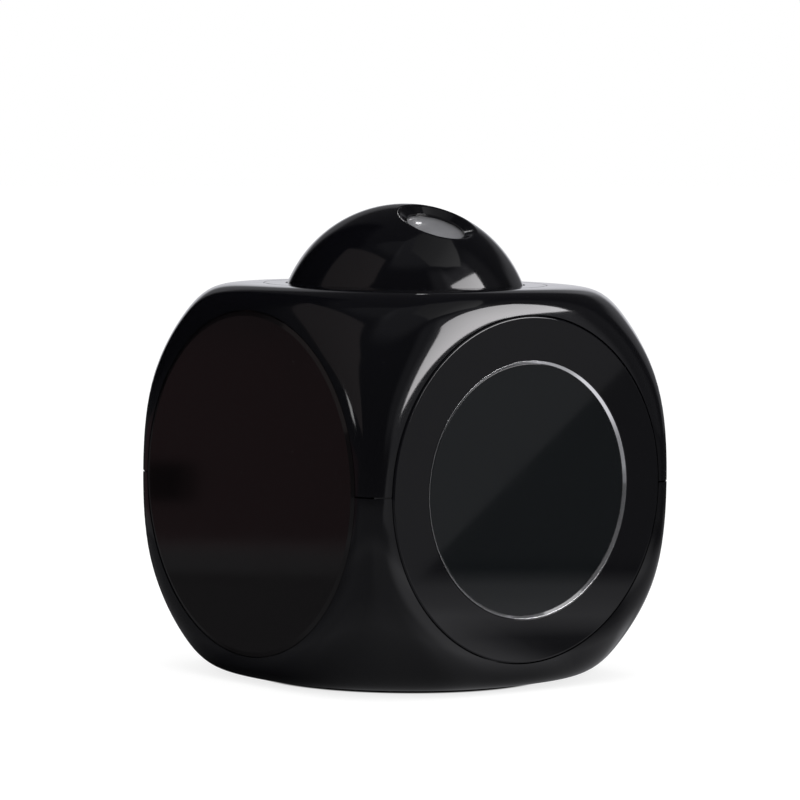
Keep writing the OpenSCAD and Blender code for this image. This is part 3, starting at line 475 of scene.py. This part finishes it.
def finishes():
    """One finish for each kind of piece, by the names of the CAD nodes that have it."""
    black = linear(9, 9, 12)
    steel = (0.55, 0.55, 0.56)
    return [
        (gloss("black_gloss", black), ["top_collar", "battery_door"]),
        (gloss("ball_gloss", linear(8, 8, 11)), ["ball_shell", "ball_base"]),
        (gloss("side_gloss", linear(12, 10, 11), 0.06), ["left_panel", "right_panel"]),
        (gloss("rear_gloss", linear(14, 13, 14), 0.09), ["rear_panel"]),
        (front_window("front_window"), ["front_lens"]),
        (ring_silver("ring_silver"), ["display_ring"]),
        (satin("button_black", linear(38, 38, 40)),
         ["button_mode", "button_set", "button_up", "button_down", "button_snooze"]),
        (satin("dark_plastic", linear(24, 24, 26)),
         ["pivot_caps", "lens_barrel", "lens_retainer", "slide_spacer", "key_switches"]),
        (satin("felt_grey", linear(60, 60, 60), 0.95, 1200, 0.9), ["friction_washers"]),
        (satin("white_plastic", linear(222, 222, 218), 0.5), ["display_frame", "led_board"]),
        (frosted("lens_frosted"), ["projection_lens"]),
        (clear("lens_clear", (0.93, 0.95, 0.96), 0.02), ["condenser_lens"]),
        (clear("guide_clear", (0.95, 0.96, 1.0), 0.2), ["light_guide"]),
        (gloss("glass_grey", linear(96, 104, 100), 0.08), ["display_glass"]),
        (satin("slide_film", linear(120, 124, 120), 0.25), ["image_slide"]),
        (satin("strip_pink", linear(225, 150, 165), 0.6), ["contact_strips"]),
        (circuit_board("board_green"), ["key_board", "main_board", "socket_board"]),
        (gloss("chip_epoxy", linear(12, 12, 12), 0.35), ["clock_chip"]),
        (metal("steel_plated", steel), ["key_board_screws", "main_board_screws", "ball_screws",
                                        "pivot_cap_screws", "housing_screws", "timing_crystal",
                                        "power_socket", "speaker_basket"]),
        (metal("spring_nickel", (0.68, 0.67, 0.64), 0.22), ["spring_contacts", "button_contacts"]),
        (metal("magnet_grey", (0.2, 0.2, 0.21), 0.4), ["speaker_magnet"]),
        (satin("cone_paper", linear(34, 34, 34), 0.8, 700, 0.6), ["speaker_cone"]),
        (satin("capacitor_sleeve", linear(28, 34, 78), 0.3), ["reservoir_capacitor"]),
        (satin("led_body", linear(235, 80, 70), 0.15), ["projector_led"]),
        (satin("cell_wrap", linear(52, 92, 150), 0.25), ["battery_cells"]),
        (satin("foot_rubber", linear(30, 30, 30), 0.85, 800, 0.5), ["rubber_feet"]),
    ]


def dress_nodes():
    for material, nodes in finishes():
        for node in nodes:
            for material_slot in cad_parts[node].material_slots:
                material_slot.material = material


def build_housings():
    skin = gloss("housing_gloss", linear(9, 9, 12))
    for node, name in (("upper_housing", "upper_moulding"), ("lower_housing", "lower_moulding")):
        piece = moulded_skin(node, name, "body")
        piece.data.materials.clear()
        piece.data.materials.append(skin)


def seam_strip():
    """The dark tongue that closes the line between the two mouldings."""
    turns = np.radians(np.arange(0, 360, STRIP_STEP))
    ring = on_form(np.stack([HALF * np.cos(turns), HALF * np.sin(turns), 0 * turns], 1))[0]
    ring = ring * (1 - STRIP_INSET / np.linalg.norm(ring, axis=1))[:, None]
    inner = ring * STRIP_INNER
    count = len(turns)
    shown = [i for i in range(count) if abs(ring[i, :2]).min() > PANEL_R]    # between the panels
    loops = ((-STRIP_HALF, ring), (STRIP_HALF, ring), (STRIP_HALF, inner), (-STRIP_HALF, inner))
    verts = [CENTRE + Vector(p) + Vector((0, 0, height)) for height, loop in loops for p in loop]
    faces = [(a + i, a + (i + 1) % count, b + (i + 1) % count, b + i)
             for a, b in ((0, count), (count, 2 * count), (2 * count, 3 * count), (3 * count, 0))
             for i in shown]
    mesh = bpy.data.meshes.new("seam_strip")
    mesh.from_pydata(verts, [], faces)
    mesh.shade_smooth()
    mesh.set_sharp_from_angle(angle=RIM_ANGLE)
    mesh.materials.append(bpy.data.objects["upper_moulding"].data.materials[0])
    strip = linked("seam_strip", mesh)
    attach(strip, "body")


def build_covers():
    """The covers with rounded rims, which catch the light."""
    window = eased("front_lens", "front_window", "body", WINDOW_BEVEL)
    ring = eased("display_ring", "window_ring", "body", RING_BEVEL)


# ---------------------------------------------------------------- studio

def direction(azimuth, elevation):
    """Azimuth 0 is straight in front of the object, towards -Y, and 90 is on its right."""
    a, e = math.radians(azimuth), math.radians(elevation)
    return Vector((math.sin(a) * math.cos(e), -math.cos(a) * math.cos(e), math.sin(e)))


def reflected_only(piece):
    """The piece shows in reflections and through glass, and lights nothing."""
    piece.visible_camera = False
    piece.visible_diffuse = False
    piece.visible_shadow = False
    piece.visible_volume_scatter = False


def glow_material():
    """Light whose colour and level are written on the mesh, as the attribute glow."""
    material = bpy.data.materials.get("glow")
    if not material:
        material = bpy.data.materials.new("glow")
        material.use_nodes = True
        tree = material.node_tree
        tree.nodes.clear()
        light = tree.nodes.new("ShaderNodeEmission")
        light.inputs["Strength"].default_value = 1.0
        level = tree.nodes.new("ShaderNodeAttribute")
        level.attribute_name = "glow"
        output = tree.nodes.new("ShaderNodeOutputMaterial")
        tree.links.new(level.outputs["Vector"], light.inputs["Color"])
        tree.links.new(light.outputs["Emission"], output.inputs["Surface"])
    return material


def glow_mesh(name, corners, faces, levels):
    """A glowing wall or card, with one colour for each corner, where 1 is white."""
    mesh = bpy.data.meshes.new(name)
    mesh.from_pydata(corners, [], faces)
    glow = mesh.attributes.new("glow", "FLOAT_VECTOR", "POINT")
    glow.data.foreach_set("vector", np.asarray(levels, np.float32).ravel())
    mesh.materials.append(glow_material())
    reflected_only(linked(name, mesh))


def tinted(levels, tint):
    """A colour for each level."""
    return np.asarray(levels)[:, None] * np.array(tint)[None, :]


def card(name, corners, distance, levels, tint):
    """A card whose corners are seen from the body at these azimuths and elevations."""
    places = [CENTRE + distance * direction(*corner) for corner in corners]
    glow_mesh(name, places, [list(range(len(places)))], tinted(levels, tint))


def fade(value, low, high):
    """A soft step from 0 at low to 1 at high."""
    share = np.clip((value - low) / (high - low), 0, 1)
    return share * share * (3 - 2 * share)


def patch(azimuth, elevation, azimuths, elevations, soft):
    """1 between these limits in degrees, and fading to 0 over the soft width outside them."""
    middle, half = sum(azimuths) / 2, (azimuths[1] - azimuths[0]) / 2
    beside = np.abs((azimuth - middle + 180) % 360 - 180) - half
    above = np.abs(elevation - sum(elevations) / 2) - (elevations[1] - elevations[0]) / 2
    return fade(-beside, -soft, 0) * fade(-above, -soft, 0)


# Pale areas of the tent: azimuths, elevations, width of the soft edge, and what they add
TENT_AREAS = [
    ((-60, 95), (66, 90), 10, 0.11),                 # roof over the front
    ((-130, -60), (76, 90), 8, 0.07),                # roof over the left
    ((-2, 10), (8, 50), 10, 0.12),                   # glow left of the softbox
    ((14, 46), (-2, 46), 9, 0.26),                   # glow round the softbox
    ((48, 66), (-2, 46), 14, 0.07),                  # glow right of the softbox
    ((98, 128), (-4, 18), 9, 0.14),                  # back right, where the backdrop shows
    ((132, 160), (-4, 24), 8, 0.14),                 # straight behind
    ((128, 158), (-8, 8), 6, 0.58),                  # over the table's far edge
]
TENT_BASE = 0.035
TENT_DARK = ((170, 216), (4, 60), 8)                 # black curtain at the back left
TENT_REACH = 2.2
TENT_TINT = (0.97, 0.97, 1.03)

# The same for the table, by azimuth and by distance in metres
TABLE_AREAS = [
    ((-86, 104), 36, (0, 0.15), 0.07, 0.11),         # all round the front
    ((88, 132), 10, (0.08, 0.3), 0.05, 0.08),        # right
    ((124, 146), 6, (0.22, 0.5), 0.06, 0.35),        # behind
    ((-40, 112), 14, (0, 0.14), 0.06, 0.05),         # front and right
    ((-14, 60), 16, (0, 0.06), 0.03, 0.18),          # under the front
    ((28, 42), 8, (0.09, 0.115), 0.025, -0.11),      # dark band under the window's low edge
    ((-2, 16), 14, (0.065, 0.15), 0.03, 0.38),       # what the corner beside the window mirrors
    ((-100, -4), 20, (0.18, 0.4), 0.05, 0.09),       # front left, further off
    ((-70, -20), 16, (0.045, 0.06), 0.02, 0.06),     # under the front left corner
    ((54, 64), 6, (0.056, 0.066), 0.01, 0.15),       # what the top of the ring mirrors
    ((8, 48), 14, (0.165, 0.215), 0.045, 0.3),       # glow low in the window
    ((20, 60), 10, (0.3, 1.3), 0.06, 0.045),         # far off in the window
    ((-166, -118), 8, (0, 0.2), 0.02, 0.035),        # low in the left panel
    ((-166, -118), 8, (0.24, 0.29), 0.03, 0.085),    # a band in the left panel
]
TABLE_NEAR, TABLE_FAR = np.arange(0, 0.5, 0.02), [0.55, 0.65, 0.8, 1.2, TENT_REACH]   # its rings
TABLE_BASE = 0.04
TABLE_TINT = (1, 1, 1.04)
TABLE_CARD_Z, SHEET_Z, DARK_SHEET_Z = 0.3 * MM, 0.6 * MM, 0.9 * MM
BROWN_AREA = ((-166, -118), 8, (0.3, 1.2), 0.03, 0.045)      # warm light in the left panel
BROWN_TINT = (1, 0.25, 0.3)
# Painted shadow: the table card is dark under the body, from the first to the second distance, and
# wider on the left
PAINTED_SHADOW_RADII, PAINTED_SHADOW_WIDER = (0.036, 0.044), 0.014
PAINTED_SHADOW_LEFT, PAINTED_SHADOW_SOFT = (-150, -85), 35


def sector(azimuth, azimuths, soft):
    """The same as patch, at all elevations."""
    return patch(azimuth, 0 * azimuth, azimuths, (-1, 1), soft)


def ring_patch(azimuth, radius, azimuths, soft_turn, radii, soft_radius):
    """1 between these azimuths and distances, and fading to 0 outside them."""
    beyond = np.abs(radius - sum(radii) / 2) - (radii[1] - radii[0]) / 2
    return sector(azimuth, azimuths, soft_turn) * fade(-beyond, -soft_radius, 0)


def grid(first, second):
    """All pairs of the two lists of values, as two flat arrays."""
    return [v.ravel() for v in np.meshgrid(first, second, indexing="ij")]


def grid_faces(columns, rows):
    """The faces between the points of such a grid."""
    return [(i * rows + j, (i + 1) * rows + j, (i + 1) * rows + j + 1, i * rows + j + 1)
            for i in range(columns) for j in range(rows - 1)]


def make_tent(rows=46, step=2):
    """The tent round the table, from the table's far edge to the zenith."""
    lowest = -math.degrees(math.atan2(SEAM_Z, TENT_REACH))
    turns = np.arange(0, 361, step)
    azimuth, elevation = grid(turns, np.linspace(lowest, 89.9, rows))
    level = np.full(len(azimuth), TENT_BASE)
    for azimuths, elevations, soft, gain in TENT_AREAS:
        level += gain * patch(azimuth, elevation, azimuths, elevations, soft)
    level *= 1 - patch(azimuth, elevation, *TENT_DARK)
    corners = [CENTRE + TENT_REACH * direction(a, e) for a, e in zip(azimuth, elevation)]
    glow_mesh("tent", corners, grid_faces(len(turns) - 1, rows), tinted(level, TENT_TINT))


def make_table_card(step=3):
    """The table as polished sides see it: pale by the object, with a painted shadow right under its
    edge, and darker far off.
    """
    radii = np.concatenate([TABLE_NEAR, TABLE_FAR])
    turns = np.arange(0, 361, step)
    azimuth, radius = grid(turns, radii)
    level = np.full(len(azimuth), TABLE_BASE)
    for azimuths, soft_turn, radii_lit, soft_radius, gain in TABLE_AREAS:
        level += gain * ring_patch(azimuth, radius, azimuths, soft_turn, radii_lit, soft_radius)
    # painted shadow: the table card's glow fades to nothing under the body
    inner, outer = PAINTED_SHADOW_RADII
    wider = PAINTED_SHADOW_WIDER * sector(azimuth, PAINTED_SHADOW_LEFT, PAINTED_SHADOW_SOFT)
    level *= fade(radius, inner, outer + wider)
    brown = BROWN_AREA[-1] * ring_patch(azimuth, radius, *BROWN_AREA[:-1])
    around = np.radians(azimuth)
    height = np.full(len(radius), TABLE_CARD_Z)
    corners = np.stack([radius * np.sin(around), -radius * np.cos(around), height], 1)
    glow_mesh("table_card", [Vector(c) for c in corners], grid_faces(len(turns) - 1, len(radii)),
              tinted(level, TABLE_TINT) + tinted(brown, BROWN_TINT))


# Flat sheets on the table: corners in metres, their levels, and the height
SHEETS = {
    # a slanting edge in the front window
    "front_sheet": ([(0.09, -0.19), (1.5, -1.6), (0.35, -2.1), (-0.06, -0.3)],
                    [0.25, 0.245, 0.4, 0.42], SHEET_Z),
    # a glow on the body's right
    "right_sheet": ([(0.054, -0.016), (0.125, 0.03), (0.12, 0.075), (0.066, 0.03)],
                    [0.25, 0.6, 0.5, 0.8], SHEET_Z),
    # a dark spot in the left panel
    "dark_sheet": ([(-0.262, 0.325), (-0.345, 0.44), (-0.334, 0.455), (-0.251, 0.336)],
                   [0, 0, 0, 0], DARK_SHEET_Z),
}


def make_sheets():
    for name, (corners, levels, height) in SHEETS.items():
        places = [Vector((x, y, height)) for x, y in corners]
        glow_mesh(name, places, [(0, 1, 2, 3)], tinted(levels, TABLE_TINT))


def background_mix(tree, plain, shown):
    """The shown shader for camera, glossy and transmission rays, and the plain one for the rest."""
    path = tree.nodes.new("ShaderNodeLightPath")
    share = path.outputs["Is Camera Ray"]
    for ray in ("Is Glossy Ray", "Is Transmission Ray"):
        larger = tree.nodes.new("ShaderNodeMath")
        larger.operation = "MAXIMUM"
        tree.links.new(share, larger.inputs[0])
        tree.links.new(path.outputs[ray], larger.inputs[1])
        share = larger.outputs[0]
    mixed = tree.nodes.new("ShaderNodeMixShader")
    tree.links.new(share, mixed.inputs["Fac"])
    tree.links.new(plain, mixed.inputs[1])
    tree.links.new(shown, mixed.inputs[2])
    return mixed.outputs["Shader"]


WORLD_LIGHT = 0.8                            # what lights the object, and 1 is what the camera sees


def make_world():
    world = bpy.data.worlds.new("studio")
    bpy.context.scene.world = world
    world.use_nodes = True
    tree = world.node_tree
    tree.nodes.clear()
    shaders = []
    for strength in (WORLD_LIGHT, 1.0):
        background = tree.nodes.new("ShaderNodeBackground")
        background.inputs["Color"].default_value = (1, 1, 1, 1)
        background.inputs["Strength"].default_value = strength
        shaders.append(background.outputs["Background"])
    output = tree.nodes.new("ShaderNodeOutputWorld")
    tree.links.new(background_mix(tree, *shaders), output.inputs["Surface"])


# Between these distances from this place the floor's glow rises from one level to the other:
# without the glow, the disc under the body is a painted shadow
FLOOR_GLOW = (0.0288, 0.0302, 0.0, 0.8)
PAINTED_SHADOW_MIDDLE = Vector((-2.8, -3.4, 0)) * MM
FLOOR_HALF, FLOOR_GREY = 6.0, 0.3


def make_floor():
    """A pale table: it shows white and keeps the object's shadow; the deep shade under its edge is
    painted, as a disc where the glow is left out.
    """
    corners = [(x * FLOOR_HALF, y * FLOOR_HALF, 0) for x, y in ((-1, -1), (1, -1), (1, 1), (-1, 1))]
    mesh = bpy.data.meshes.new("floor")
    mesh.from_pydata(corners, [], [(0, 1, 2, 3)])
    material = bpy.data.materials.new("floor_white")
    material.use_nodes = True
    tree = material.node_tree
    tree.nodes.clear()
    diffuse = tree.nodes.new("ShaderNodeBsdfDiffuse")
    diffuse.inputs["Color"].default_value = (FLOOR_GREY, FLOOR_GREY, FLOOR_GREY, 1)
    glow = tree.nodes.new("ShaderNodeEmission")
    place = tree.nodes.new("ShaderNodeTexCoord")
    length = tree.nodes.new("ShaderNodeVectorMath")
    length.operation = "DISTANCE"
    length.inputs[1].default_value = PAINTED_SHADOW_MIDDLE
    # painted shadow: the floor's glow is left out near the body, so the floor is dark under its
    # edge
    painted_shadow_edge = tree.nodes.new("ShaderNodeMapRange")
    for socket, number in zip(("From Min", "From Max", "To Min", "To Max"), FLOOR_GLOW):
        painted_shadow_edge.inputs[socket].default_value = number
    tree.links.new(place.outputs["Object"], length.inputs[0])
    tree.links.new(length.outputs["Value"], painted_shadow_edge.inputs["Value"])
    tree.links.new(painted_shadow_edge.outputs["Result"], glow.inputs["Strength"])
    add = tree.nodes.new("ShaderNodeAddShader")
    tree.links.new(diffuse.outputs["BSDF"], add.inputs[0])
    tree.links.new(glow.outputs["Emission"], add.inputs[1])
    output = tree.nodes.new("ShaderNodeOutputMaterial")
    mixed = background_mix(tree, diffuse.outputs["BSDF"], add.outputs["Shader"])
    tree.links.new(mixed, output.inputs["Surface"])
    mesh.materials.append(material)
    linked("floor", mesh)


def area_lamp(name, azimuth, elevation, distance, size, watts):
    """A soft lamp; reflections see the cards instead of it."""
    data = bpy.data.lights.new(name, "AREA")
    data.size = size
    data.energy = watts
    lamp = linked(name, data)
    away = direction(azimuth, elevation)
    lamp.location = CENTRE + distance * away
    lamp.rotation_mode = "QUATERNION"
    lamp.rotation_quaternion = away.to_track_quat("Z", "Y")
    lamp.visible_glossy = False
    lamp.visible_transmission = False


# A small card by the projector's lens: its corners as the lens's left end sees them, how far off
# and how bright it is, where that end is from the lens's middle, and a place on the body's front
# that the card is edge on to, so that only the lens mirrors it
GLINT_CORNERS = [(137, 43), (130, 44), (124, 53), (132, 57)]
GLINT_MIDDLE, GLINT_REACH, GLINT_LEVEL = (131, 49), 28 * MM, 5
LENS_END = Vector((-3.4, 2.7, 0.6)) * MM
BODY_FRONT = Vector((-22, -31, 76)) * MM


def glint_card():
    low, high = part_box("projection_lens")
    rim = (low + high) / 2 + LENS_END
    middle = rim + GLINT_REACH * direction(*GLINT_MIDDLE)
    along = (middle - BODY_FRONT).normalized()
    facing = (middle - rim).normalized()
    facing = (facing - facing.dot(along) * along).normalized()
    reach = (middle - rim).dot(facing)
    rays = [direction(*corner) for corner in GLINT_CORNERS]
    glow_mesh("glint_card", [rim + ray * reach / ray.dot(facing) for ray in rays], [(0, 1, 2, 3)],
              tinted([GLINT_LEVEL] * 4, (1, 1, 1)))


# Lamps: azimuth, elevation, distance, size and watts
LAMPS = {
    "top_lamp": (-20, 75, 0.9, 0.8, 3),
    "left_lamp": (-110, 25, 0.9, 0.5, 1),
    "right_lamp": (40, 25, 0.9, 0.5, 1),
}
# Cards: corners as azimuths and elevations, distance, the corners' levels, and the tint
CARDS = {
    "softbox": ([(16, 5), (38, 11), (51, 22), (52, 41), (13, 40)], 1.3,
                [9.5, 11, 11, 7.5, 7], (1, 0.98, 1.0)),
    "window_card": ([(-94, 6), (-76, 45), (-76, 66), (-151, 53), (-128, 8)], 1.3,
                    [0.25, 0.26, 0.24, 0.13, 0.16], (1, 0.88, 0.87)),
    "overhead_card": ([(-20, 78), (0, 60), (22, 55), (42, 50), (56, 55), (88, 60), (104, 78)], 1.4,
                      [0.2, 0.32, 0.46, 0.66, 0.44, 0.22, 0.14], (1, 1, 1)),
    "small_lamp": ([(-117, 4), (-113, 4), (-113, 14), (-117, 14)], 1.25, [4] * 4, (1, 1, 1)),
}


def make_studio():
    make_world()
    make_floor()
    for name, lamp in LAMPS.items():
        area_lamp(name, *lamp)
    make_tent()
    make_table_card()
    make_sheets()
    for name, settings in CARDS.items():
        card(name, *settings)
    glint_card()


make_camera()
bpy.context.scene.view_settings.view_transform = "Standard"
dress_nodes()
build_housings()
seam_strip()
build_covers()
make_studio()
